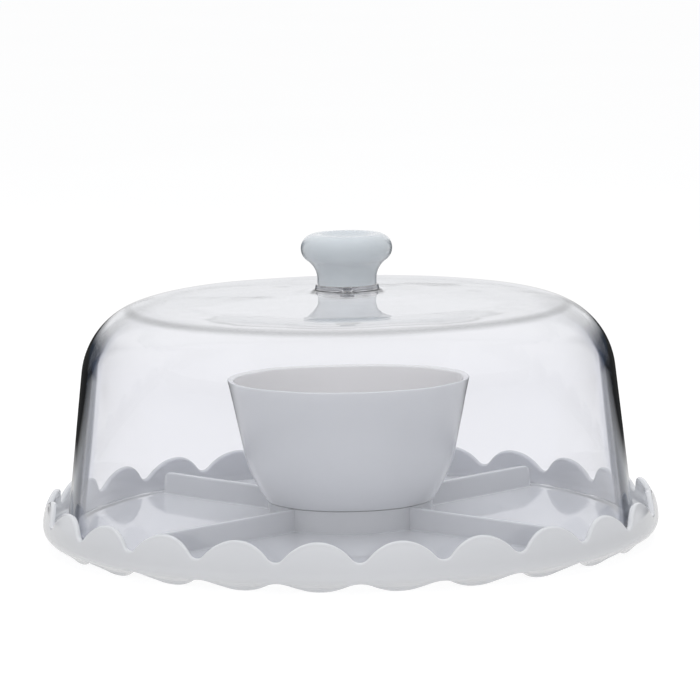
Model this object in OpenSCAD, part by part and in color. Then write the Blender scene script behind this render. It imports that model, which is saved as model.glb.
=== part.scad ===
// Covered serving tray: a scalloped round tray with four moulded compartments,
// a deep dip bowl standing in the centre ring, and a clear dome with a dished knob.
// Millimetres, +Z up. The origin is the centre of the tray on the table top.

/* [Tray] */
// Radius at the widest part of the wall
tray_radius = 165; // [160:1:180]
// Height of the tips of the upper scallops
tray_height = 26.6; // [26.2:0.2:26.6]
// Thickness of the wall and of the lip
wall_thickness = 3; // [2.5:0.1:3.5]
// Height of the upper face of the floor
floor_height = 10; // [9.5:0.1:11]
// Thickness of the floor
floor_thickness = 3; // [2.5:0.1:3.4]
// Number of scallops around the wall
scallop_count = 24; // [20:1:28]
// How far the gaps cut down from the tips of the upper scallops
gap_depth = 10; // [9.6:0.2:10]
// Radius at the bottom of an upper gap
gap_radius = 5.6; // [3:0.1:6]
// Height of the notches between the lower scallops
notch_height = 5.2; // [5.1:0.1:5.3]
// Radius at the top of a lower notch
notch_radius = 14; // [13.5:0.5:14.5]
// Turn of the scallops about the vertical axis
scallop_turn = -6; // [-7:0.5:7]

/* [Ribs and centre ring] */
// Height of the ribs and the ring above the floor
rib_height = 12; // [10.5:0.1:12.4]
// Thickness of a rib
rib_thickness = 2.8; // [2:0.1:4]
// Distance from the axis to the outer end of a rib
rib_reach = 145; // [120:1:146]
// Inner radius of the centre ring
ring_inner_radius = 42.4; // [41.6:0.1:43]
// Thickness of the centre ring
ring_thickness = 2; // [1.8:0.1:3]
// Turn of the ribs away from the diagonals
rib_turn = 1; // [-5:0.5:5]

/* [Dip bowl] */
// Outer radius of the bowl at the rim
bowl_radius = 65; // [64:0.5:65.5]
// Height of the bowl from its foot to the rim
bowl_height = 78.2; // [77:0.2:80]
// Thickness of the bowl wall
bowl_thickness = 3.4; // [3:0.1:4]
// Radius of the curve of the lower part of the bowl
bowl_curve_radius = 70; // [69:0.5:71]

/* [Dome] */
// Outer radius of the dome at its lower edge
dome_radius = 152; // [150:0.5:154]
// Thickness of the clear wall
dome_thickness = 3; // [2.4:0.1:3.4]
// Inward lean of the dome wall in degrees
dome_lean = 6.4; // [5:0.1:7]
// Radius of the shoulder
shoulder_radius = 45; // [42:0.5:50]
// Height where the shoulder begins
shoulder_start = 91.5; // [90:0.5:94]
// Slope of the crown in degrees
crown_slope = 2.3; // [1.5:0.1:3]
// Radius of the boss under the knob
boss_radius = 16.9; // [16.5:0.1:19]

/* [Knob] */
// Outer radius of the knob
knob_radius = 24.4; // [23:0.1:28]
// Height of the knob
knob_height = 27; // [26:0.1:30]
// Radius of the neck of the knob
neck_radius = 15.8; // [13:0.1:16]
// Radius of the rounded edge of the knob
edge_radius = 7.75; // [7:0.05:9]
// Depth of the dish in the top of the knob
dish_depth = 3; // [1.5:0.1:5]

/* [Hidden] */
$fn = 144;

white = [0.86, 0.88, 0.90];
warm_white = [0.88, 0.87, 0.86];
clear = [0.90, 0.93, 0.97, 0.30];
blue_white = [0.78, 0.83, 0.87];
brass = [0.78, 0.62, 0.32];
steel = [0.70, 0.71, 0.73];
soft_clear = [0.90, 0.90, 0.88];

// clearance between parts that lift off one another
gap = 0.3;
// clearance between parts of the knob fastening
snug = 0.05;

// tray wall: a low foot, a quarter round up to the widest part, then a long inward curve
turn_radius = 8.5;
foot_height = 3;
turn_centre = [tray_radius - turn_radius, foot_height + turn_radius];
top_inset = 4.2;
rise = tray_height - turn_centre[1];
sweep_radius = (rise * rise + top_inset * top_inset) / (2 * top_inset);
sweep_centre = [tray_radius - sweep_radius, turn_centre[1]];
sweep_angle = asin(rise / sweep_radius);
inner_sweep_angle = asin(rise / (sweep_radius - wall_thickness));
foot_width = 2.5;
foot_inner = turn_centre[0] - foot_width - 1;
fillet = 2.5;

// scallops
half_pitch = tray_radius * sin(180 / scallop_count);
// flat on the tip of each lower scallop, made by starting the curve a little below the table
tip_flat = 0.4;

// dome
dome_base = floor_height + gap;
shoulder_x = dome_radius - (shoulder_start - dome_base) * tan(dome_lean) - shoulder_radius * cos(dome_lean);
shoulder_z = shoulder_start - shoulder_radius * sin(dome_lean);
crown_x = shoulder_x + shoulder_radius * sin(crown_slope);
crown_z = shoulder_z + shoulder_radius * cos(crown_slope);
boss_foot_z = crown_z + (crown_x - boss_radius) * tan(crown_slope);
boss_height = 3.1;
boss_top = boss_foot_z + boss_height;
boss_fillet = 1.4;
inner_corner = shoulder_radius - dome_thickness;
seat_radius = 9;
seat_z = crown_z - dome_thickness / cos(crown_slope) + (crown_x - seat_radius) * tan(crown_slope);
screw_hole_radius = 2.3;

// bowl
bowl_base = floor_height + gap;
bowl_top = bowl_base + bowl_height;
bowl_lean = 11.6;
bend_z = bowl_base + 39.7;
bend_x = bowl_radius - (bowl_top - bend_z) * tan(bowl_lean);
curve_x = bend_x - bowl_curve_radius * cos(bowl_lean);
curve_z = bend_z + bowl_curve_radius * sin(bowl_lean);
// the foot fits inside the centre ring, and the bowl widens just above the top of the ring
bowl_foot_radius = ring_inner_radius - gap;
bowl_step_z = floor_height + rib_height + gap;
foot_angle = -asin((curve_z - bowl_step_z) / bowl_curve_radius);
foot_round = 1.5;
bowl_floor_z = bowl_base + 4;
inner_curve = bowl_curve_radius - bowl_thickness;
inner_foot_angle = -asin((curve_z - bowl_floor_z) / inner_curve);
foot_recess_radius = 28;
foot_recess = 1.2;

// knob
knob_base = boss_top + snug;
edge_centre = [knob_radius - edge_radius, knob_base + knob_height - edge_radius];
neck_start = knob_base + 2.7;
neck_drop = edge_centre[1] - neck_start;
neck_shift = neck_radius - edge_centre[0];
neck_curve = (neck_drop * neck_drop + neck_shift * neck_shift - edge_radius * edge_radius)
    / (2 * (edge_radius - neck_shift));
neck_centre = [neck_radius + neck_curve, neck_start];
blend_angle = atan2(edge_centre[1] - neck_centre[1], edge_centre[0] - neck_centre[0]);
lip_angle = 110;
dish_radius = edge_centre[0] + edge_radius * cos(lip_angle);
dish_lip_z = edge_centre[1] + edge_radius * sin(lip_angle);
dish_curve = (dish_radius * dish_radius + dish_depth * dish_depth) / (2 * dish_depth);
dish_centre = [0, dish_lip_z - dish_depth + dish_curve];
dish_angle = asin(dish_radius / dish_curve);

// knob fastening
insert_radius = 3.6;
insert_length = 10;
screw_radius = 2;
head_radius = 4;
head_height = 2.6;
washer_radius = 6.5;
washer_thickness = 1;

// points along an arc about a centre, from one angle to another
function arc(centre, radius, from, to, steps) = [
    for (i = [0 : steps])
        centre + radius * [cos(from + (to - from) * i / steps), sin(from + (to - from) * i / steps)]
];

// radius of the round scallops that leaves gaps of a given depth and bottom radius
function scallop_radius(depth, bottom) =
    (half_pitch * half_pitch + (depth - bottom) * (depth - bottom) - bottom * bottom) / (2 * depth);

// outline of one gap between two round scallops; the tips are at y = 0 and the gap lies below
module gap_outline(depth, bottom) {
    round_radius = scallop_radius(depth, bottom);
    share = round_radius / (round_radius + bottom);
    touch_y = -round_radius + (round_radius - depth + bottom) * share;
    difference() {
        translate([-half_pitch, touch_y])
            square([2 * half_pitch, 3 - touch_y]);
        translate([-half_pitch, -round_radius])
            circle(round_radius);
        translate([half_pitch, -round_radius])
            circle(round_radius);
    }
    translate([0, bottom - depth])
        circle(bottom);
}

// turns a gap outline to face outwards and runs it through the tray wall
module through_wall(angle) {
    rotate([0, 0, angle])
        translate([0, -tray_radius + 18, 0])
            rotate([90, 0, 0])
                linear_extrude(24)
                    children();
}

// section of the tray wall with its lip, on the right of the axis
module wall_section() {
    polygon(concat(
        [[foot_inner, 0], [foot_inner + foot_width, 0]],
        arc(turn_centre, turn_radius, -90, 0, 12),
        arc(sweep_centre, sweep_radius, 2, sweep_angle, 10),
        arc(sweep_centre, sweep_radius - wall_thickness, inner_sweep_angle, 0, 10),
        arc(turn_centre, turn_radius - wall_thickness, -8, -90, 8),
        [[foot_inner, foot_height + wall_thickness]]
    ));
}

// flat floor with a fillet up to the wall
module floor_section() {
    edge = tray_radius - wall_thickness;
    polygon(concat(
        [[0, floor_height - floor_thickness], [edge - 0.4, floor_height - floor_thickness]],
        [[edge + 0.6, floor_height], [edge - 0.05, floor_height + fillet]],
        arc([edge - 0.05 - fillet, floor_height + fillet], fillet, -4, -86, 6),
        [[0, floor_height]]
    ));
}

module rib(angle) {
    rotate([0, 0, angle])
        translate([-rib_thickness / 2, 0, floor_height - 0.5])
            difference() {
                translate([0, -rib_reach, 0])
                    cube([rib_thickness, rib_reach - ring_inner_radius - 1, rib_height + 0.5]);
                // rounded upper corner at the outer end
                translate([-1, -rib_reach, rib_height + 0.5])
                    rotate([0, 90, 0])
                        difference() {
                            translate([-1, -1, 0])
                                cube([5, 5, rib_thickness + 2]);
                            translate([4, 4, -1])
                                cylinder(r = 4, h = rib_thickness + 4);
                        }
            }
}

// tray with its scalloped wall and lip, floor, centre ring and four ribs, all one moulding
module tray() {
    color(white)
        union() {
            difference() {
                rotate_extrude()
                    wall_section();
                for (k = [0 : scallop_count - 1]) {
                    through_wall(scallop_turn + (k + 0.5) * 360 / scallop_count)
                        translate([0, tray_height])
                            gap_outline(gap_depth, gap_radius);
                    through_wall(scallop_turn + (k + 0.5) * 360 / scallop_count)
                        translate([0, -tip_flat])
                            mirror([0, 1])
                                gap_outline(notch_height + tip_flat, notch_radius);
                }
            }
            rotate_extrude()
                floor_section();
            translate([0, 0, floor_height - 0.5])
                difference() {
                    cylinder(r = ring_inner_radius + ring_thickness, h = rib_height + 0.5);
                    translate([0, 0, -1])
                        cylinder(r = ring_inner_radius, h = rib_height + 3);
                }
            for (k = [0 : 3])
                rib(45 + rib_turn + 90 * k);
        }
}

// deep bowl: a foot that fits in the ring, curved above it, then straight and leaning outwards to the rim
module dip_bowl() {
    rim_radius = bowl_thickness / 2;
    rim_x = bowl_radius - rim_radius / cos(bowl_lean);
    rim_z = bowl_top - rim_radius;
    color(warm_white)
        rotate_extrude()
            polygon(concat(
                [[0, bowl_base + foot_recess], [foot_recess_radius, bowl_base + foot_recess]],
                [[foot_recess_radius + foot_recess, bowl_base]],
                arc([bowl_foot_radius - foot_round, bowl_base + foot_round], foot_round, -90, 0, 4),
                [[bowl_foot_radius, bowl_step_z]],
                arc([curve_x, curve_z], bowl_curve_radius, foot_angle, -bowl_lean, 14),
                arc([rim_x, rim_z], rim_radius, -bowl_lean, 180 - bowl_lean, 8),
                arc([curve_x, curve_z], inner_curve, -bowl_lean, inner_foot_angle, 14),
                [[0, bowl_floor_z]]
            ));
}

// clear dome: leaning wall, round shoulder, nearly flat crown and a low boss for the knob
module dome() {
    in_edge = dome_radius - dome_thickness / cos(dome_lean);
    edge_round = dome_thickness / 2 / cos(dome_lean);
    color(clear)
        rotate_extrude()
            polygon(concat(
                arc([dome_radius - edge_round, dome_base + edge_round], edge_round, 180, 360, 8),
                arc([shoulder_x, shoulder_z], shoulder_radius, dome_lean, 90 - crown_slope, 24),
                arc([boss_radius + boss_fillet, boss_foot_z + boss_fillet - 0.05], boss_fillet, 270, 180, 6),
                arc([boss_radius - 0.6, boss_top - 0.6], 0.6, 0, 90, 4),
                [[screw_hole_radius, boss_top], [screw_hole_radius, seat_z], [seat_radius, seat_z]],
                arc([shoulder_x, shoulder_z], inner_corner, 90 - crown_slope, dome_lean, 24)
            ));
}

// knob: waisted neck, rounded edge, dished top and a blind hole for the insert
module knob() {
    hole_top = knob_base + insert_length + 1;
    color(blue_white)
        rotate_extrude()
            polygon(concat(
                [[insert_radius + snug, knob_base], [neck_radius, knob_base]],
                arc(neck_centre, neck_curve, 180, blend_angle, 10),
                arc(edge_centre, edge_radius, blend_angle - 180, lip_angle, 20),
                arc(dish_centre, dish_curve, 270 + dish_angle, 270, 10),
                [[0, hole_top], [insert_radius + snug, hole_top]]
            ));
}

// threaded insert moulded into the knob, with a waist that keeps it from pulling out
module knob_insert() {
    color(brass)
        translate([0, 0, knob_base])
            difference() {
                cylinder(r = insert_radius, h = insert_length);
                translate([0, 0, -1])
                    cylinder(r = screw_radius + snug, h = insert_length + 2);
                translate([0, 0, insert_length / 2 - 1])
                    difference() {
                        cylinder(r = insert_radius + 1, h = 2);
                        translate([0, 0, -1])
                            cylinder(r = insert_radius - 0.5, h = 4);
                    }
            }
}

// pan-head screw with a hexagon socket, driven up from inside the dome
module knob_screw() {
    head_top = seat_z - washer_thickness - 2 * snug;
    color(steel)
        difference() {
            union() {
                translate([0, 0, head_top - head_height])
                    cylinder(r = head_radius, h = head_height);
                translate([0, 0, head_top - 0.2])
                    cylinder(r = screw_radius, h = knob_base + insert_length - 1 - head_top);
            }
            translate([0, 0, head_top - head_height - 1])
                cylinder(r = 1.45, h = 2.4, $fn = 6);
        }
}

// soft washer between the screw head and the clear dome
module screw_washer() {
    color(soft_clear)
        translate([0, 0, seat_z - washer_thickness - snug])
            difference() {
                cylinder(r = washer_radius, h = washer_thickness);
                translate([0, 0, -1])
                    cylinder(r = screw_radius + snug, h = washer_thickness + 2);
            }
}

tray();
dip_bowl();
dome();
knob();
knob_insert();
knob_screw();
screw_washer();
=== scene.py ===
import math

import bpy
import numpy as np
from mathutils import Matrix, Vector


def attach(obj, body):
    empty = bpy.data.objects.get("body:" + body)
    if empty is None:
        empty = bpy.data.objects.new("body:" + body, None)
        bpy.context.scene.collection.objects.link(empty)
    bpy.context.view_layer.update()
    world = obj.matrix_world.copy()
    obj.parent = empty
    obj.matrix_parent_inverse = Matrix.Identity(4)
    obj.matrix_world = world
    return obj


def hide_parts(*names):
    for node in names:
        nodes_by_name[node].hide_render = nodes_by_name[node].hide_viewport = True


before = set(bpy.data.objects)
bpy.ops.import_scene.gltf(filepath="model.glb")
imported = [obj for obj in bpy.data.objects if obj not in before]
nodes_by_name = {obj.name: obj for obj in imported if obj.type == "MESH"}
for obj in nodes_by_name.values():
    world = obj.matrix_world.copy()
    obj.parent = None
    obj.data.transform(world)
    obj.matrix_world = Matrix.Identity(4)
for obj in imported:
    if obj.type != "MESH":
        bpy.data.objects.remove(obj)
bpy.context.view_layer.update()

MM = 0.001


# ---------------------------------------------------------------- mesh helpers

def arc(cx, cz, radius, start, end, steps):
    """Points (r, z) along an arc, angles in degrees."""
    angles = np.radians(np.linspace(start, end, steps + 1))
    return [(cx + radius * math.cos(a), cz + radius * math.sin(a)) for a in angles]


def between(a, b, steps):
    """Points (r, z) along a straight run, without its two ends."""
    return [
        (a[0] + (b[0] - a[0]) * i / steps, a[1] + (b[1] - a[1]) * i / steps)
        for i in range(1, steps)
    ]


def grid_mesh(name, points, start_cap=None, end_cap=None, closed_rows=False, outward=True):
    """A smooth mesh from a grid of points in mm, shaped (rows, columns, 3).

    Columns always wrap round. Caps are single points that close the first and last row.
    """
    rows, cols, _ = points.shape
    verts = (points.reshape(-1, 3) * MM).tolist()
    faces = []
    last = rows if closed_rows else rows - 1
    for i in range(last):
        low, high = i * cols, ((i + 1) % rows) * cols
        for j in range(cols):
            k = (j + 1) % cols
            faces.append((low + j, low + k, high + k, high + j))
    if start_cap is not None:
        tip = len(verts)
        verts.append([c * MM for c in start_cap])
        faces += [(tip, (j + 1) % cols, j) for j in range(cols)]
    if end_cap is not None:
        tip = len(verts)
        verts.append([c * MM for c in end_cap])
        base = (rows - 1) * cols
        faces += [(tip, base + j, base + (j + 1) % cols) for j in range(cols)]
    if not outward:
        faces = [f[::-1] for f in faces]
    mesh = bpy.data.meshes.new(name)
    mesh.from_pydata(verts, [], faces)
    mesh.validate()
    mesh.polygons.foreach_set("use_smooth", [True] * len(mesh.polygons))
    mesh.update()
    obj = bpy.data.objects.new(name, mesh)
    bpy.context.scene.collection.objects.link(obj)
    return obj


def revolve(name, profile, cols, wobble=None, start_cap=None, end_cap=None, closed_rows=False):
    """Turns a profile of (r, z) in mm about Z. wobble(angle, r, z) gives small shifts (dr, dz)."""
    profile = np.array(profile, float)
    angles = np.linspace(0, 2 * np.pi, cols, endpoint=False)[None, :]
    radius = np.repeat(profile[:, :1], cols, 1)
    height = np.repeat(profile[:, 1:], cols, 1)
    if wobble:
        dr, dz = wobble(angles, radius, height)
        radius, height = radius + dr, height + dz
    grid = np.stack([radius * np.sin(angles), -radius * np.cos(angles), height], -1)
    return grid_mesh(name, grid, start_cap, end_cap, closed_rows)


# ---------------------------------------------------------------- materials

def new_material(name):
    """An empty node material with a Principled shader on its output."""
    mat = bpy.data.materials.new(name)
    mat.use_nodes = True
    nodes, links = mat.node_tree.nodes, mat.node_tree.links
    nodes.clear()
    out = nodes.new("ShaderNodeOutputMaterial")
    shader = nodes.new("ShaderNodeBsdfPrincipled")
    links.new(shader.outputs[0], out.inputs["Surface"])
    return mat, nodes, links, shader, out


def noise(nodes, links, coords, scale, detail=3.0, rough=0.5):
    """The factor of a noise texture over coords."""
    tex = nodes.new("ShaderNodeTexNoise")
    tex.inputs["Scale"].default_value = scale
    tex.inputs["Detail"].default_value = detail
    tex.inputs["Roughness"].default_value = rough
    links.new(coords, tex.inputs["Vector"])
    return tex.outputs["Fac"]


def ramp(nodes, links, factor, stops):
    """The colour of a ramp at factor; stops are (place, colour)."""
    node = nodes.new("ShaderNodeValToRGB")
    links.new(factor, node.inputs["Fac"])
    marks = node.color_ramp.elements
    while len(marks) < len(stops):
        marks.new(0.5)
    for mark, (place, colour) in zip(marks, stops):
        mark.position = place
        mark.color = (*colour, 1.0)
    return node.outputs["Color"]


def maths(nodes, links, kind, *values):
    """A Math node; each value is a number or a socket."""
    node = nodes.new("ShaderNodeMath")
    node.operation = kind
    for socket, value in zip(node.inputs, values):
        if isinstance(value, float):
            socket.default_value = value
        else:
            links.new(value, socket)
    return node.outputs[0]


def grey(value):
    return (value, value, value)


def moulded_plastic(name, low, high, roughness, bump, coat=0.5, subsurface=0.12, inner_painted_light=None):
    """Glossy opal plastic: cloudy colour, slightly uneven gloss and a faint moulded ripple.

    The colour for the inner faces, those that look towards the axis of the piece, is painted
    light, a lit copy of the plastic's colour for its inner side.
    """
    mat, nodes, links, shader, _ = new_material(name)
    coords = nodes.new("ShaderNodeTexCoord").outputs["Object"]
    cloud = noise(nodes, links, coords, 14.0, 4.0)
    colour = ramp(nodes, links, cloud, [(0.3, low), (0.7, high)])
    # painted light: the faces that look towards the axis get the lighter colour given for the inner
    # side
    if inner_painted_light:
        flat_place = nodes.new("ShaderNodeVectorMath")
        flat_place.operation = "MULTIPLY"
        flat_place.inputs[1].default_value = (1, 1, 0)
        links.new(coords, flat_place.inputs[0])
        outward = nodes.new("ShaderNodeVectorMath")
        outward.operation = "DOT_PRODUCT"
        links.new(nodes.new("ShaderNodeNewGeometry").outputs["Normal"], outward.inputs[0])
        links.new(flat_place.outputs[0], outward.inputs[1])
        painted_inner_light_mix = nodes.new("ShaderNodeMix")
        painted_inner_light_mix.data_type = "RGBA"
        facing_in = maths(nodes, links, "LESS_THAN", outward.outputs["Value"], 0.0)
        links.new(facing_in, painted_inner_light_mix.inputs["Factor"])
        links.new(colour, painted_inner_light_mix.inputs["A"])
        painted_inner_light_mix.inputs["B"].default_value = (*inner_painted_light, 1)
        colour = painted_inner_light_mix.outputs["Result"]
    links.new(colour, shader.inputs["Base Color"])
    haze = noise(nodes, links, coords, 60.0, 3.0)
    links.new(
        ramp(nodes, links, haze, [(0.3, grey(roughness[0])), (0.7, grey(roughness[1]))]),
        shader.inputs["Roughness"],
    )
    ripple = noise(nodes, links, coords, 45.0, 2.0)
    grain = noise(nodes, links, coords, 900.0, 2.0)
    wide = nodes.new("ShaderNodeBump")
    wide.inputs["Strength"].default_value = bump
    wide.inputs["Distance"].default_value = 0.0006
    links.new(ripple, wide.inputs["Height"])
    fine = nodes.new("ShaderNodeBump")
    fine.inputs["Strength"].default_value = 0.04
    fine.inputs["Distance"].default_value = 0.00005
    links.new(grain, fine.inputs["Height"])
    links.new(wide.outputs[0], fine.inputs["Normal"])
    links.new(fine.outputs[0], shader.inputs["Normal"])
    shader.inputs["IOR"].default_value = 1.5
    shader.inputs["Coat Weight"].default_value = coat
    shader.inputs["Coat Roughness"].default_value = 0.04
    shader.inputs["Subsurface Weight"].default_value = subsurface
    shader.inputs["Subsurface Radius"].default_value = (0.006, 0.006, 0.006)
    shader.inputs["Subsurface Scale"].default_value = 1.0
    return mat


def clear_plastic(name):
    """Clear moulded shell with faint ripples, whose colour holds painted shade:
    dark where the wall is seen edge on, and a soft grey line at the shoulder.

    Light for matt surfaces and for shadows passes straight through it.
    """
    mat, nodes, links, shader, out = new_material(name)
    coords = nodes.new("ShaderNodeTexCoord").outputs["Object"]
    facing = nodes.new("ShaderNodeLayerWeight")
    facing.inputs["Blend"].default_value = 0.5
    # painted shade: the colour goes near black where the wall is seen nearly edge on, and lighter
    # again at the very outline
    edge = ramp(nodes, links, facing.outputs["Facing"], [
        (0.0, (0.89, 0.892, 0.915)),
        (0.640, (0.91, 0.912, 0.935)),
        (0.672, (0.93, 0.935, 0.98)),
        (0.690, (0.80, 0.82, 0.90)),
        (0.715, (0.80, 0.82, 0.90)),
        (0.732, (0.10, 0.11, 0.16)),
        (0.745, (0.012, 0.017, 0.032)),
        (0.785, (0.010, 0.015, 0.028)),
        (0.820, (0.025, 0.032, 0.048)),
        (0.860, (0.09, 0.11, 0.14)),
        (0.900, (0.40, 0.42, 0.46)),
        (1.0, (0.60, 0.62, 0.66)),
    ])
    # only the upright wall gets the painted edge shade, darker towards its outline; the crown stays
    #     light, but for a soft line of painted shade where it bends into the shoulder
    normal = nodes.new("ShaderNodeNewGeometry").outputs["Normal"]
    split = nodes.new("ShaderNodeSeparateXYZ")
    links.new(normal, split.inputs[0])
    tilt = maths(nodes, links, "ABSOLUTE", split.outputs["Z"])
    upright_share = ramp(nodes, links, tilt, [(0.20, grey(1.0)), (0.80, grey(0.0))])
    painted_edge_shade = nodes.new("ShaderNodeMix")
    painted_edge_shade.data_type = "RGBA"
    links.new(upright_share, painted_edge_shade.inputs["Factor"])
    painted_edge_shade.inputs["A"].default_value = (0.975, 0.977, 0.99, 1)
    links.new(edge, painted_edge_shade.inputs["B"])
    # painted shade: a soft grey line on the dome where the crown bends into the shoulder, set by the
    # tilt of the surface
    painted_shoulder_line = ramp(nodes, links, tilt, [
        (0.875, grey(1.0)), (0.905, grey(0.60)), (0.925, grey(0.62)),
        (0.945, grey(0.94)), (0.98, grey(1.0)),
    ])
    line = nodes.new("ShaderNodeMix")
    line.data_type = "RGBA"
    line.blend_type = "MULTIPLY"
    line.inputs["Factor"].default_value = 1.0
    links.new(painted_edge_shade.outputs["Result"], line.inputs["A"])
    links.new(painted_shoulder_line, line.inputs["B"])
    links.new(line.outputs["Result"], shader.inputs["Base Color"])
    shader.inputs["Transmission Weight"].default_value = 1.0
    shader.inputs["IOR"].default_value = 1.49
    haze = noise(nodes, links, coords, 30.0, 3.0)
    links.new(
        ramp(nodes, links, haze, [(0.35, grey(0.0)), (0.8, grey(0.02))]), shader.inputs["Roughness"])
    ripple = noise(nodes, links, coords, 22.0, 2.0)
    bump = nodes.new("ShaderNodeBump")
    bump.inputs["Strength"].default_value = 0.08
    bump.inputs["Distance"].default_value = 0.0008
    links.new(ripple, bump.inputs["Height"])
    links.new(bump.outputs[0], shader.inputs["Normal"])
    through = nodes.new("ShaderNodeBsdfTransparent")
    through.inputs["Color"].default_value = (0.985, 0.988, 0.992, 1)
    path = nodes.new("ShaderNodeLightPath")
    surface = shader.outputs[0]
    for ray in ("Is Diffuse Ray", "Is Shadow Ray"):
        mix = nodes.new("ShaderNodeMixShader")
        links.new(path.outputs[ray], mix.inputs[0])
        links.new(surface, mix.inputs[1])
        links.new(through.outputs[0], mix.inputs[2])
        surface = mix.outputs[0]
    links.new(surface, out.inputs["Surface"])
    return mat


def metal(name, dark, light, roughness, rings):
    """Turned or rolled metal with fine tool rings about the axis."""
    mat, nodes, links, shader, _ = new_material(name)
    coords = nodes.new("ShaderNodeTexCoord").outputs["Object"]
    wave = nodes.new("ShaderNodeTexWave")
    wave.wave_type = "RINGS"
    wave.rings_direction = "Z"
    wave.inputs["Scale"].default_value = rings
    wave.inputs["Distortion"].default_value = 1.5
    links.new(coords, wave.inputs["Vector"])
    links.new(
        ramp(nodes, links, wave.outputs["Fac"], [(0.2, dark), (0.8, light)]),
        shader.inputs["Base Color"],
    )
    stain = noise(nodes, links, coords, 400.0, 3.0)
    links.new(
        ramp(nodes, links, stain, [(0.3, grey(roughness[0])), (0.7, grey(roughness[1]))]),
        shader.inputs["Roughness"],
    )
    bump = nodes.new("ShaderNodeBump")
    bump.inputs["Strength"].default_value = 0.15
    bump.inputs["Distance"].default_value = 0.00005
    links.new(wave.outputs["Fac"], bump.inputs["Height"])
    links.new(bump.outputs[0], shader.inputs["Normal"])
    shader.inputs["Metallic"].default_value = 1.0
    return mat


def dress(obj, mat):
    """Gives an object one material."""
    obj.data.materials.clear()
    obj.data.materials.append(mat)


tray_plastic = moulded_plastic(
    "tray_opal", (0.75, 0.76, 0.785), (0.775, 0.785, 0.81), (0.03, 0.06), 0.03,
    coat=0.8, subsurface=0.35)
# the bowl's inner faces get a lighter, pinker colour: painted light
bowl_plastic = moulded_plastic(
    "bowl_opal", (0.83, 0.84, 0.865), (0.86, 0.87, 0.895), (0.12, 0.2), 0.2,
    subsurface=0.35, inner_painted_light=(0.90, 0.885, 0.885))
knob_plastic = moulded_plastic(
    "knob_white", (0.62, 0.665, 0.70), (0.65, 0.695, 0.73), (0.14, 0.2), 0.06,
    coat=0.8, subsurface=0.5)
dome_clear = clear_plastic("dome_clear")
insert_brass = metal("insert_brass", (0.62, 0.44, 0.18), (0.80, 0.62, 0.30), (0.22, 0.38), 900.0)
screw_steel = metal("screw_steel", (0.50, 0.51, 0.53), (0.72, 0.73, 0.75), (0.18, 0.32), 700.0)
washer_soft = moulded_plastic(
    "washer_silicone", (0.74, 0.74, 0.72), (0.80, 0.80, 0.78), (0.35, 0.5), 0.05,
    coat=0.0, subsurface=0.3)


# ---------------------------------------------------------------- tray
# The main sizes, in mm, are those of the CAD. Fillets and small roundings are softer here, and the
# turned-in foot of the tray and the shoulder of the dome have curves of their own.

RADIUS = 165.0
TOP = 26.6
WALL = 3.0
FLOOR = 10.0
UNDER = 7.0
SCALLOPS = 24
COLS = SCALLOPS * 36
TURN = -6.0
HALF_PITCH = RADIUS * math.sin(math.pi / SCALLOPS)
GAP_DEPTH, GAP_RADIUS = 10.0, 5.6
NOTCH, NOTCH_RADIUS = 5.2, 14.0
WIDEST = 11.5
INSET = 4.2
RISE = TOP - WIDEST
SWEEP = (RISE ** 2 + INSET ** 2) / (2 * INSET)


def scallop_drop(offset, depth, bottom):
    """How far a scalloped edge lies below its tips, at a distance from the nearest tip."""
    lobe = (HALF_PITCH ** 2 + (depth - bottom) ** 2 - bottom ** 2) / (2 * depth)
    touch = HALF_PITCH * lobe / (lobe + bottom)
    offset = np.abs(offset)
    on_lobe = lobe - np.sqrt(np.maximum(lobe ** 2 - np.minimum(offset, touch) ** 2, 0))
    into = np.minimum(HALF_PITCH - np.maximum(offset, touch), bottom)
    in_gap = depth - bottom + np.sqrt(np.maximum(bottom ** 2 - into ** 2, 0))
    return np.where(offset <= touch, on_lobe, in_gap)


def bezier(a, b, c, d):
    """Dense points along a cubic curve in the (r, z) plane."""
    t = np.linspace(0, 1, 200)[:, None]
    a, b, c, d = (np.array(p, float) for p in (a, b, c, d))
    return (1 - t) ** 3 * a + 3 * t * (1 - t) ** 2 * b + 3 * t * t * (1 - t) * c + t ** 3 * d


# below its widest part the wall turns in under the tray and ends in a low foot; the curve is
# fuller than the arc of the CAD
UNDER_OUTER = bezier((155.4, 0), (155.7, 4.6), (164.6, 3.4), (RADIUS, WIDEST))
UNDER_INNER = bezier((152.9, 0), (153.1, 6.4), (160.8, 6.6), (RADIUS - WALL, WIDEST))


def wall_outer(z):
    """Outer radius of the tray wall at a height."""
    low = np.interp(z, UNDER_OUTER[:, 1], UNDER_OUTER[:, 0])
    high = RADIUS - SWEEP + np.sqrt(SWEEP ** 2 - (np.maximum(z, WIDEST) - WIDEST) ** 2)
    return np.where(z < WIDEST, low, high)


def wall_inner(z):
    """Inner radius of the tray wall at a height."""
    low = np.interp(z, UNDER_INNER[:, 1], UNDER_INNER[:, 0])
    high = RADIUS - SWEEP + np.sqrt((SWEEP - WALL) ** 2 - (np.maximum(z, WIDEST) - WIDEST) ** 2)
    return np.where(z < WIDEST, low, high)


RING_IN, RING_OUT = 42.4, 44.4
RIB_TOP = 12.0
RIB_REACH = 145.0
RIB_TURN = 1.0
# distance of each column from the middle of a rib, and how high the rib is there, as a share
RIB_OFFSETS = [0.0, 0.5, 0.85, 1.15, 1.33, 1.40, 1.42, 1.55, 1.95, 2.6]
RIB_SHARES = [1.0, 1.0, 0.996, 0.975, 0.945, 0.90, 0.06, 0.028, 0.006, 0.0]
SETTLE = 22  # columns on each side of a rib over which they ease back to even spacing


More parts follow.
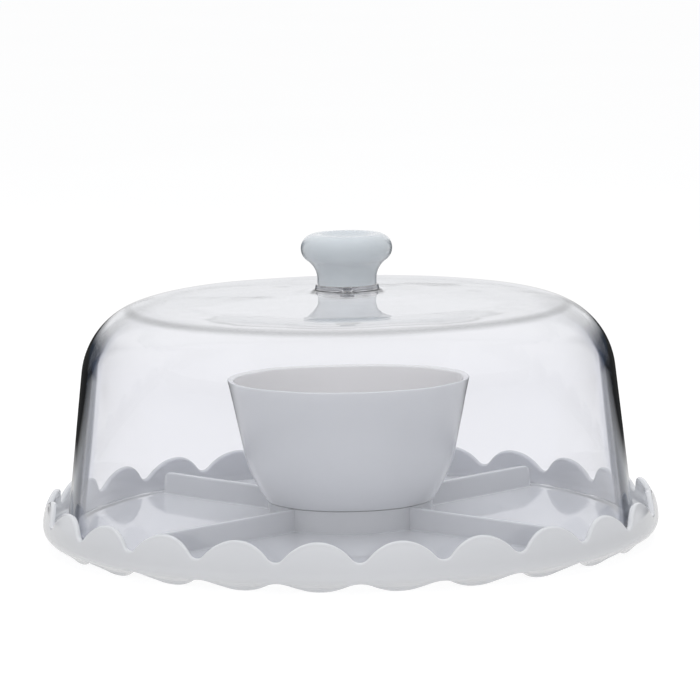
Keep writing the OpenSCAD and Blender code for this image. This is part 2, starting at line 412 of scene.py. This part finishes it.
def column_angles(radius):
    """Angles of the columns at a radius, and the share of the rib's height at each.

    They are even, but drawn in to follow the sides of the ribs.
    """
    even = (np.arange(COLS) + 0.5) * 360.0 / COLS - 180.0
    step = 360.0 / COLS
    near = np.zeros(COLS, int)
    base = np.zeros(COLS)
    for k in range(4):
        middle = 45 + RIB_TURN + 90 * k
        middle = (middle + 180) % 360 - 180
        start = round((middle + 180.0) / step - 0.5)
        for n in range(-SETTLE, SETTLE + 1):
            near[(start + n) % COLS] = n
            base[(start + n) % COLS] = middle
    drawn = even.copy()
    marked = base != 0
    count = len(RIB_OFFSETS) - 1
    for j in np.nonzero(marked)[0]:
        n = abs(near[j])
        sign = 1 if near[j] >= 0 else -1
        if n <= count:
            shift = math.degrees(RIB_OFFSETS[n] / radius)
        else:
            inner = math.degrees(RIB_OFFSETS[count] / radius)
            t = (n - count) / (SETTLE - count)
            even_gap = abs((even[j] - base[j] + 180) % 360 - 180)
            edge = (even[j] - base[j] + 180) % 360 - 180
            t = t * t * (3 - 2 * t)
            drawn_gap = inner + (n - count) * (step * SETTLE - inner) / (SETTLE - count)
            shift = (1 - t) * drawn_gap + t * even_gap
            sign = 1 if edge >= 0 else -1
        drawn[j] = base[j] + sign * shift
    share = np.zeros(COLS)
    for j in np.nonzero(marked)[0]:
        n = abs(near[j])
        if n <= count:
            share[j] = RIB_SHARES[n]
    return drawn, share


def make_tray():
    """One closed skin: floor, ring and ribs, wall, scalloped edge, foot and underside."""
    even = (np.arange(COLS) + 0.5) * 360.0 / COLS - 180.0
    _, rib_share = column_angles(100.0)
    rows = []

    def add(radius, z, angles):
        radius = np.broadcast_to(radius, (COLS,))
        z = np.broadcast_to(z, (COLS,))
        a = np.radians(angles)
        rows.append(np.stack([radius * np.sin(a), -radius * np.cos(a), z], -1))

    # floor inside the centre ring, and the ring itself; ribs start at its outer side
    for radius in (12.0, 24.0, 32.0, 38.0, 41.0):
        add(radius, FLOOR, column_angles(max(radius, 30))[0])
    top = FLOOR + RIB_TOP
    for radius, z in (
        (RING_IN - 0.5, FLOOR + 0.12), (RING_IN - 0.15, FLOOR + 0.4), (RING_IN, FLOOR + 0.9),
        (RING_IN, top - 0.5), (RING_IN + 0.08, top - 0.25), (RING_IN + 0.25, top - 0.08),
        (RING_IN + 0.55, top), (RING_IN + 1.0, top), (RING_OUT - 0.55, top),
    ):
        add(radius, z, column_angles(radius)[0])
    outer = [
        (RING_OUT - 0.25, top - 0.08), (RING_OUT - 0.08, top - 0.25), (RING_OUT, top - 0.5),
        (RING_OUT + 0.02, FLOOR + 0.9), (RING_OUT + 0.2, FLOOR + 0.35),
        (RING_OUT + 0.7, FLOOR + 0.08), (RING_OUT + 1.4, FLOOR),
    ]
    for radius, z in outer:
        angles = column_angles(radius)[0]
        add(radius, np.maximum(z, FLOOR + RIB_TOP * rib_share), angles)
    for radius in (47.5, 51, 55, 60, 68, 77, 86, 95, 104, 113, 121, 128, 134, 138, 140.5):
        add(radius, FLOOR + RIB_TOP * rib_share, column_angles(radius)[0])
    # outer end of each rib: a rounded corner, then down to the floor
    for radius, share in (
        (RIB_REACH - 3.4, 0.985), (RIB_REACH - 2.4, 0.955), (RIB_REACH - 1.5, 0.90),
        (RIB_REACH - 0.8, 0.82), (RIB_REACH - 0.3, 0.72), (RIB_REACH - 0.1, 0.62),
        (RIB_REACH, 0.07), (RIB_REACH + 0.2, 0.03), (RIB_REACH + 0.7, 0.008),
        (RIB_REACH + 1.4, 0.0),
    ):
        height = RIB_TOP * np.minimum(rib_share, share)
        add(radius, FLOOR + height, column_angles(radius)[0])
    for i, radius in enumerate((148.5, 151, 153.5, 156)):
        t = (i + 1) / 4
        add(radius, FLOOR, (1 - t) * column_angles(radius)[0] + t * even)
    # fillet up to the wall
    fillet = 3.0
    corner = wall_inner(FLOOR + fillet) - fillet
    for x, z in arc(corner, FLOOR + fillet, fillet, -90, -4, 7):
        add(x, z, even)

    tip = (even - TURN + 180.0) % (360.0 / SCALLOPS)
    tip = np.where(tip > 180.0 / SCALLOPS, tip - 360.0 / SCALLOPS, tip)
    offset = RADIUS * np.sin(np.radians(tip))
    edge_top = TOP - scallop_drop(offset, GAP_DEPTH, GAP_RADIUS)
    lip = 1.35
    start = FLOOR + fillet + 0.4
    end = edge_top - lip
    for t in np.linspace(0, 1, 9)[1:]:
        z = start + (end - start) * t
        add(wall_inner(z), z, even)
    # rounded upper edge
    z_mid = edge_top - lip
    r_in, r_out = wall_inner(z_mid), wall_outer(z_mid)
    for a in np.radians(np.linspace(160, 20, 8)):
        add((r_in + r_out) / 2 + (r_out - r_in) / 2 * math.cos(a), z_mid + lip * math.sin(a), even)
    # outer wall, down to the scalloped foot, round its end and back up inside it
    notch = scallop_drop(offset, NOTCH, NOTCH_RADIUS)
    notch = (notch + np.sqrt(notch ** 2 + 0.1)) / 2 - 0.15
    for t in np.linspace(0, 1, 9)[:-1]:
        z = z_mid + (WIDEST - z_mid) * t
        add(wall_outer(z), z, even)
    rounding = 1.1
    end = notch + rounding
    for t in np.linspace(0, 1, 15):
        z = WIDEST + (end - WIDEST) * t
        add(wall_outer(z), z, even)
    middle = (wall_outer(end) + wall_inner(end)) / 2
    half = (wall_outer(end) - wall_inner(end)) / 2
    for a in np.radians(np.linspace(15, 165, 9)):
        add(middle + half * np.cos(a), end - rounding * np.sin(a), even)
    for t in np.linspace(0, 1, 6):
        z = end + (UNDER - 0.3 - end) * t
        add(wall_inner(z), z, even)
    for radius in (157.2, 156.0, 154.0, 140.0, 100.0, 50.0):
        add(radius, UNDER, even)
    grid = np.stack(rows)
    return grid_mesh("tray_shell", grid, (0, 0, FLOOR), (0, 0, UNDER), outward=False)


tray = make_tray()
dress(tray, tray_plastic)
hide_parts("tray")
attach(tray, "tray")


# ---------------------------------------------------------------- dip bowl

GAP = 0.3  # between pieces on different bodies
BOWL_BASE = FLOOR + GAP
BOWL_HEIGHT = 78.2
BOWL_TOP = BOWL_BASE + BOWL_HEIGHT
BOWL_RADIUS = 65.0
BOWL_THICK = 3.4
BOWL_CURVE = 70.0
BOWL_LEAN = 11.6
BOWL_BEND = 39.7  # height above its foot at which the curve meets the straight side
BOWL_FLOOR = 4.0


def make_bowl():
    """The bowl with its foot, a step over the ring and a crisp rim; its outline is a little uneven."""
    bend_z = BOWL_BASE + BOWL_BEND
    bend_x = BOWL_RADIUS - (BOWL_TOP - bend_z) * math.tan(math.radians(BOWL_LEAN))
    cx = bend_x - BOWL_CURVE * math.cos(math.radians(BOWL_LEAN))
    cz = bend_z + BOWL_CURVE * math.sin(math.radians(BOWL_LEAN))
    foot_radius = RING_IN - GAP
    step_z = FLOOR + RIB_TOP + GAP
    foot = -math.degrees(math.asin((cz - step_z - 0.7) / BOWL_CURVE))
    lean_out = math.cos(math.radians(BOWL_LEAN))
    edge, brim = 0.6, 1.3
    edge_x, edge_z = BOWL_RADIUS - 0.05 - edge, BOWL_TOP - edge
    brim_x = edge_x - (BOWL_THICK - edge - brim) * lean_out
    brim_z = BOWL_TOP - 0.55 - brim
    outer_curve = arc(cx, cz, BOWL_CURVE, foot, -BOWL_LEAN, 22)
    rim_arc = (
        arc(edge_x, edge_z, edge, -BOWL_LEAN, 95, 5)
        + arc(brim_x, brim_z, brim, 95, 180 - BOWL_LEAN, 6))
    inner = BOWL_CURVE - BOWL_THICK
    floor_z = BOWL_BASE + BOWL_FLOOR
    low = -math.degrees(math.asin((cz - floor_z - 3.0) / inner))
    inner_curve = arc(cx, cz, inner, -BOWL_LEAN, low, 20)
    floor_round = [
        (inner_curve[-1][0] - 1.6, floor_z + 1.5), (inner_curve[-1][0] - 3.8, floor_z + 0.5),
        (inner_curve[-1][0] - 7.0, floor_z + 0.06), (18, floor_z), (8, floor_z)]
    profile = (
        [(10, BOWL_BASE + 1.2), (20, BOWL_BASE + 1.2), (27.6, BOWL_BASE + 1.2),
         (28.6, BOWL_BASE + 0.5), (29.2, BOWL_BASE + 0.02), (30.4, BOWL_BASE), (36.0, BOWL_BASE)]
        + arc(foot_radius - 1.5, BOWL_BASE + 1.5, 1.5, -90, 0, 5)
        + [(foot_radius, step_z - 3), (foot_radius, step_z - 0.5), (foot_radius + 0.15, step_z - 0.12),
           (foot_radius + 0.5, step_z), (outer_curve[0][0] - 0.9, step_z),
           (outer_curve[0][0] - 0.35, step_z + 0.18)]
        + outer_curve + between(outer_curve[-1], rim_arc[0], 14) + rim_arc
        + between(rim_arc[-1], inner_curve[0], 14) + inner_curve + floor_round
    )

    def wobble(angle, radius, height):
        share = np.clip((height - BOWL_BASE - 6) / 72.0, 0, 1) ** 1.5
        swell = (
            0.22 * np.sin(3 * angle + 0.7) + 0.16 * np.sin(5 * angle + 2.1)
            + 0.08 * np.sin(11 * angle + 0.4))
        dip = (
            0.30 * np.sin(2 * angle + 1.1) + 0.22 * np.sin(7 * angle + 0.3)
            + 0.12 * np.sin(13 * angle + 2.0))
        return (swell - 0.46) * share * 0.6, (dip - 0.6) * share ** 2 * 0.35

    return revolve(
        "dip_bowl_shell", profile, 288, wobble, (0, 0, BOWL_BASE + 1.2), (0, 0, floor_z))


bowl = make_bowl()
dress(bowl, bowl_plastic)
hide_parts("dip_bowl")
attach(bowl, "dip_bowl")


# ---------------------------------------------------------------- dome and knob

DOME_BASE = FLOOR + GAP
DOME_RADIUS = 152.0
DOME_THICK = 3.0
LEAN = math.radians(6.4)
SHOULDER = 45.0
SHOULDER_START = 91.5
SLOPE = math.radians(2.3)
SHOULDER_X = (
    DOME_RADIUS - (SHOULDER_START - DOME_BASE) * math.tan(LEAN) - SHOULDER * math.cos(LEAN))
SHOULDER_Z = SHOULDER_START - SHOULDER * math.sin(LEAN)
CROWN_X = SHOULDER_X + SHOULDER * math.sin(SLOPE)
CROWN_Z = SHOULDER_Z + SHOULDER * math.cos(SLOPE)
BOSS_RADIUS = 16.9
BOSS_FOOT = CROWN_Z + (CROWN_X - BOSS_RADIUS) * math.tan(SLOPE)
BOSS_TOP = BOSS_FOOT + 3.1
SEAT_RADIUS = 9.0
SEAT_Z = CROWN_Z - DOME_THICK / math.cos(SLOPE) + (CROWN_X - SEAT_RADIUS) * math.tan(SLOPE)
HOLE = 2.3
# how far the shoulder has turned down, in degrees, and its radius there; the CAD has one arc
BEND_AT = [2.3, 6.0, 12.0, 20.0]
BEND_RADII = [150.0, 85.0, 55.0, 42.3]


def shoulder_curve(inset, steps):
    """Points along the shoulder, from the crown, where it bends gently, down to the wall."""
    tilt = np.linspace(SLOPE, math.pi / 2 - LEAN, 400)
    bend = np.interp(np.degrees(tilt), BEND_AT, BEND_RADII)
    step = (bend[1:] + bend[:-1]) / 2 * np.diff(tilt)
    middle = (tilt[1:] + tilt[:-1]) / 2
    x = np.concatenate([[0], np.cumsum(step * np.cos(middle))])
    z = np.concatenate([[0], -np.cumsum(step * np.sin(middle))])
    # slide the curve until it meets the line of the crown and the line of the wall
    wall_x = SHOULDER_X + SHOULDER * math.cos(LEAN)
    wall_z = SHOULDER_Z + SHOULDER * math.sin(LEAN)
    lines = np.array([[math.tan(SLOPE), 1], [1, math.tan(LEAN)]])
    x0, z0 = np.linalg.solve(lines, [
        CROWN_Z + CROWN_X * math.tan(SLOPE),
        wall_x + wall_z * math.tan(LEAN) - x[-1] - z[-1] * math.tan(LEAN),
    ])
    pick = np.linspace(0, len(tilt) - 1, steps + 1).astype(int)
    return [
        (x0 + x[i] - inset * math.sin(tilt[i]), z0 + z[i] - inset * math.cos(tilt[i]))
        for i in pick
    ]


def make_dome():
    """The clear shell with its boss and the screw hole, faintly uneven as moulded plastic is."""
    half = DOME_THICK / 2 / math.cos(LEAN)
    rim = arc(DOME_RADIUS - half, DOME_BASE + half, half, 180, 360, 8)
    shoulder = shoulder_curve(0, 56)[::-1]
    fillet = 2.0
    boss_foot = arc(BOSS_RADIUS + fillet, BOSS_FOOT + fillet - 0.08, fillet, 268, 180, 8)
    boss_edge = arc(BOSS_RADIUS - 0.7, BOSS_TOP - 0.7, 0.7, 0, 90, 6)
    inner = shoulder_curve(DOME_THICK, 56)
    profile = (
        rim + between(rim[-1], shoulder[0], 24) + shoulder
        + between(shoulder[-1], boss_foot[0], 22) + boss_foot + boss_edge
        + [(12, BOSS_TOP), (6, BOSS_TOP), (HOLE + 0.3, BOSS_TOP), (HOLE, BOSS_TOP - 0.15)]
        + [(HOLE, SEAT_Z + 0.15), (HOLE + 0.3, SEAT_Z), (6, SEAT_Z), (SEAT_RADIUS, SEAT_Z),
           (SEAT_RADIUS + 1, SEAT_Z - 0.04)]
        + between((SEAT_RADIUS + 1, SEAT_Z - 0.04), inner[0], 24) + inner
        + between(inner[-1], rim[0], 24)
    )

    def wobble(angle, radius, height):
        side = np.clip((radius - 30) / 60, 0, 1) * np.clip((height - 14) / 20, 0, 1)
        crown = np.clip((radius - 22) / 20, 0, 1) * np.clip((height - 110) / 15, 0, 1)
        x, y = radius * np.sin(angle), -radius * np.cos(angle)
        wave = (
            np.sin(x / 17 + 1.3) * np.cos(y / 21 + 0.4)
            + 0.6 * np.sin(x / 9 - y / 13 + height / 19))
        level = np.sin(x / 23 + y / 15) + 0.7 * np.sin(x / 11 - 0.6) * np.sin(y / 12 + 2.2)
        return (0.10 * wave - 0.16) * side, (0.10 * level - 0.1) * crown

    return revolve("dome_shell", profile, 360, wobble, closed_rows=True)


dome = make_dome()
dress(dome, dome_clear)
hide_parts("dome")
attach(dome, "dome")

KNOB_BASE = BOSS_TOP + 0.05
KNOB_RADIUS = 24.4
KNOB_HEIGHT = 27.0
NECK = 15.8
EDGE = 7.75
DISH = 3.0
INSERT_HOLE = 3.65
INSERT_DEPTH = 11.0


def make_knob():
    """The knob: neck, rolled lip, dished top and the hole for its insert."""
    ex, ez = KNOB_RADIUS - EDGE, KNOB_BASE + KNOB_HEIGHT - EDGE
    nz = KNOB_BASE + 2.7
    drop, shift = ez - nz, NECK - ex
    curve = (drop ** 2 + shift ** 2 - EDGE ** 2) / (2 * (EDGE - shift))
    nx = NECK + curve
    blend = math.degrees(math.atan2(ez - nz, ex - nx))
    lip = arc(ex, ez, EDGE, blend - 180, 110, 34)
    dish_x, dish_z = lip[-1]
    dish_curve = (dish_x ** 2 + DISH ** 2) / (2 * DISH)
    dish = arc(0, dish_z - DISH + dish_curve, dish_curve,
               270 + math.degrees(math.asin(dish_x / dish_curve)), 270.8, 18)
    # ease the corner between the lip and the dish
    for _ in range(3):
        joined = lip + dish
        k = len(lip)
        for i in (k - 2, k - 1, k, k + 1):
            a, b, c = joined[i - 1], joined[i], joined[i + 1]
            joined[i] = ((a[0] + 2 * b[0] + c[0]) / 4, (a[1] + 2 * b[1] + c[1]) / 4)
        lip, dish = joined[:k], joined[k:]
    hole_top = KNOB_BASE + INSERT_DEPTH
    profile = (
        [(1.5, hole_top), (INSERT_HOLE - 0.2, hole_top), (INSERT_HOLE, hole_top - 0.2),
         (INSERT_HOLE, KNOB_BASE + 0.2), (INSERT_HOLE + 0.2, KNOB_BASE), (10, KNOB_BASE)]
        + arc(NECK - 0.5, KNOB_BASE + 0.5, 0.5, -90, 0, 4)
        + arc(nx, nz, curve, 180, blend, 22)[0:-1] + lip + dish
    )
    return revolve("knob_shell", profile, 192, None, (0, 0, hole_top), (0, 0, dish_z - DISH))


knob = make_knob()
dress(knob, knob_plastic)
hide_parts("knob")
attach(knob, "dome")

dress(nodes_by_name["knob_insert"], insert_brass)
dress(nodes_by_name["knob_screw"], screw_steel)
dress(nodes_by_name["screw_washer"], washer_soft)


# ---------------------------------------------------------------- studio

def straight_view(nodes, links):
    """Two shares: 1 for rays from the camera that have met nothing but the clear dome, and 1 for
    any ray that has met nothing matt."""
    path = nodes.new("ShaderNodeLightPath").outputs
    no_diffuse = maths(nodes, links, "LESS_THAN", path["Diffuse Depth"], 0.5)
    no_gloss = maths(nodes, links, "LESS_THAN", path["Glossy Depth"], 0.5)
    clean = maths(nodes, links, "MULTIPLY", no_diffuse, no_gloss)
    through = maths(nodes, links, "MULTIPLY", path["Is Transmission Ray"], clean)
    return maths(nodes, links, "MAXIMUM", path["Is Camera Ray"], through), no_diffuse


def mixed(nodes, links, share, low, high):
    """low where share is 0, high where it is 1; each is a number or a socket."""
    node = nodes.new("ShaderNodeMapRange")
    links.new(share, node.inputs["Value"])
    for name, value in (("To Min", low), ("To Max", high)):
        if isinstance(value, float):
            node.inputs[name].default_value = value
        else:
            links.new(value, node.inputs[name])
    return node.outputs["Result"]


def stage_material(name, lit, bounce, shade):
    """Pale floor: white to the camera and through the clear dome, a soft grey bounce to the rest,
    and dark behind the tray where it is mirrored, which draws the outlines of glossy pieces."""
    mat, nodes, links, shader, _ = new_material(name)
    coords = nodes.new("ShaderNodeTexCoord").outputs["Object"]
    fleck = noise(nodes, links, coords, 3.0, 2.0)
    shader.inputs["Roughness"].default_value = 0.9
    shader.inputs["Specular IOR Level"].default_value = 0.0
    shader.inputs["Emission Color"].default_value = (1, 1, 1, 1)
    # behind the tray it is mirrored dark, but for a strip in the middle and far out on both sides
    place = nodes.new("ShaderNodeSeparateXYZ")
    links.new(coords, place.inputs[0])
    reach = nodes.new("ShaderNodeVectorMath")
    reach.operation = "LENGTH"
    links.new(coords, reach.inputs[0])
    across = maths(nodes, links, "ABSOLUTE", place.outputs["X"])
    aside = maths(nodes, links, "DIVIDE", across, reach.outputs["Value"])
    wide = ramp(nodes, links, aside, [
        (0.13, grey(0.75)), (0.20, grey(0.0)), (0.57, grey(0.0)), (0.70, grey(0.75))])
    behind = ramp(nodes, links, place.outputs["Y"], [(0.20, grey(0.75)), (0.40, grey(0.03))])
    far = maths(nodes, links, "MAXIMUM", wide, behind)
    straight, no_diffuse = straight_view(nodes, links)
    matt = ramp(nodes, links, fleck, [(0.3, grey(shade)), (0.7, grey(shade + 0.01))])
    lit_part = mixed(nodes, links, straight, 0.0, matt)
    links.new(mixed(nodes, links, no_diffuse, matt, lit_part), shader.inputs["Base Color"])
    mirrored = mixed(nodes, links, no_diffuse, bounce, far)
    links.new(mixed(nodes, links, straight, mirrored, lit), shader.inputs["Emission Strength"])
    mat.cycles.emission_sampling = "NONE"
    return mat


STAGE_Z = -0.02  # mm, just under the tips of the tray's foot


def make_floor():
    """A wide round floor, wide enough to fill every view."""
    angles = np.linspace(0, 2 * np.pi, 96, endpoint=False)
    level = np.full_like(angles, STAGE_Z)
    rings = [50, 150, 250, 500, 1000, 2000, 6000, 20000]
    grid = np.stack([np.stack([r * np.sin(angles), -r * np.cos(angles), level], -1) for r in rings])
    return grid_mesh("studio_floor", grid, (0, 0, STAGE_Z), outward=False)


floor = make_floor()
dress(floor, stage_material("studio_floor", 0.84, 0.50, 0.30))


def area_light(name, place, aim, size, power):
    """A soft rectangular lamp that isn't itself seen in reflections or through the dome."""
    data = bpy.data.lights.new(name, "AREA")
    data.shape = "RECTANGLE"
    data.size, data.size_y = size
    data.energy = power
    obj = bpy.data.objects.new(name, data)
    obj.location = place
    obj.rotation_euler = (Vector(aim) - Vector(place)).to_track_quat("-Z", "Y").to_euler()
    obj.visible_glossy = False
    obj.visible_transmission = False
    bpy.context.scene.collection.objects.link(obj)


area_light("top_soft", (0.0, 0.1, 1.5), (0, 0, 0.05), (1.2, 0.9), 9.0)
area_light("left_soft", (-1.4, -0.9, 0.8), (0, 0, 0.12), (0.5, 0.6), 1.5)
area_light("right_soft", (1.4, -0.9, 0.8), (0, 0, 0.12), (0.5, 0.6), 0.5)
area_light("front_soft", (0.0, -2.8, 0.9), (0, 0, 0.08), (1.8, 0.9), 9.6)


def make_world():
    """White to the camera, a soft fill for matt surfaces and a shine that glossy ones mirror."""
    world = bpy.data.worlds.new("studio")
    world.use_nodes = True
    nodes, links = world.node_tree.nodes, world.node_tree.links
    nodes.clear()
    out = nodes.new("ShaderNodeOutputWorld")
    seen = nodes.new("ShaderNodeBackground")
    seen.inputs["Color"].default_value = (1, 1, 1, 1)
    seen.inputs["Strength"].default_value = 1.0
    fill = nodes.new("ShaderNodeBackground")
    fill.inputs["Strength"].default_value = 0.50
    shine = nodes.new("ShaderNodeBackground")
    shine.inputs["Strength"].default_value = 0.85
    # the fill is weaker from the sides
    way = nodes.new("ShaderNodeSeparateXYZ")
    links.new(nodes.new("ShaderNodeTexCoord").outputs["Generated"], way.inputs[0])
    side = maths(nodes, links, "ABSOLUTE", way.outputs["X"])
    links.new(
        ramp(nodes, links, side, [(0.38, (0.98, 0.985, 1.0)), (0.85, (0.28, 0.285, 0.30))]),
        fill.inputs["Color"],
    )
    # what is mirrored is dark low down behind the tray, but for far out on both sides
    slope = maths(nodes, links, "ADD", way.outputs["Z"], 0.15)
    steep = maths(nodes, links, "DIVIDE", slope, side)
    high = ramp(nodes, links, steep, [(0.55, grey(0.0)), (1.0, grey(1.0))])
    front = ramp(nodes, links, way.outputs["Y"], [(0.0, grey(1.0)), (0.2, grey(0.0))])
    wide = ramp(nodes, links, side, [(0.57, grey(0.0)), (0.70, grey(1.0))])
    light_share = maths(nodes, links, "MAXIMUM", maths(nodes, links, "MAXIMUM", high, front), wide)
    links.new(
        ramp(nodes, links, light_share, [(0.0, (0.04, 0.05, 0.07)), (1.0, (0.97, 0.98, 1.0))]),
        shine.inputs["Color"],
    )
    straight, no_diffuse = straight_view(nodes, links)
    gloss = nodes.new("ShaderNodeMixShader")
    links.new(no_diffuse, gloss.inputs[0])
    links.new(fill.outputs[0], gloss.inputs[1])
    links.new(shine.outputs[0], gloss.inputs[2])
    mix = nodes.new("ShaderNodeMixShader")
    links.new(straight, mix.inputs[0])
    links.new(gloss.outputs[0], mix.inputs[1])
    links.new(seen.outputs[0], mix.inputs[2])
    links.new(mix.outputs[0], out.inputs["Surface"])
    bpy.context.scene.world = world


make_world()

scene = bpy.context.scene
scene.view_settings.view_transform = "Standard"
scene.cycles.use_denoising = True
scene.cycles.max_bounces = 24
scene.cycles.transmission_bounces = 20
scene.cycles.glossy_bounces = 12
scene.cycles.transparent_max_bounces = 16
scene.cycles.sample_clamp_indirect = 4.0

# ---------------------------------------------------------------- camera

PITCH, YAW, ROLL = 0.13052, 0.00047, -0.01591
STAND = (0.0, -2.20481, 0.391626)
SENSOR = 36.0
FOCAL = 4159.6 / 700.0  # in widths of the frame


def make_camera():
    """The camera, turned by yaw, pitch and roll."""
    forward = Vector((
        math.sin(YAW) * math.cos(PITCH), math.cos(YAW) * math.cos(PITCH), -math.sin(PITCH)))
    level = Vector((math.cos(YAW), -math.sin(YAW), 0))
    up = level.cross(forward)
    across = math.cos(ROLL) * level + math.sin(ROLL) * up
    upright = -math.sin(ROLL) * level + math.cos(ROLL) * up
    data = bpy.data.cameras.new("camera")
    data.sensor_width = SENSOR
    data.lens = FOCAL * SENSOR
    data.clip_end = 100.0
    camera = bpy.data.objects.new("camera", data)
    turned = Matrix((across, upright, -forward)).transposed().to_4x4()
    camera.matrix_world = Matrix.Translation(STAND) @ turned
    scene.collection.objects.link(camera)
    scene.camera = camera


make_camera()
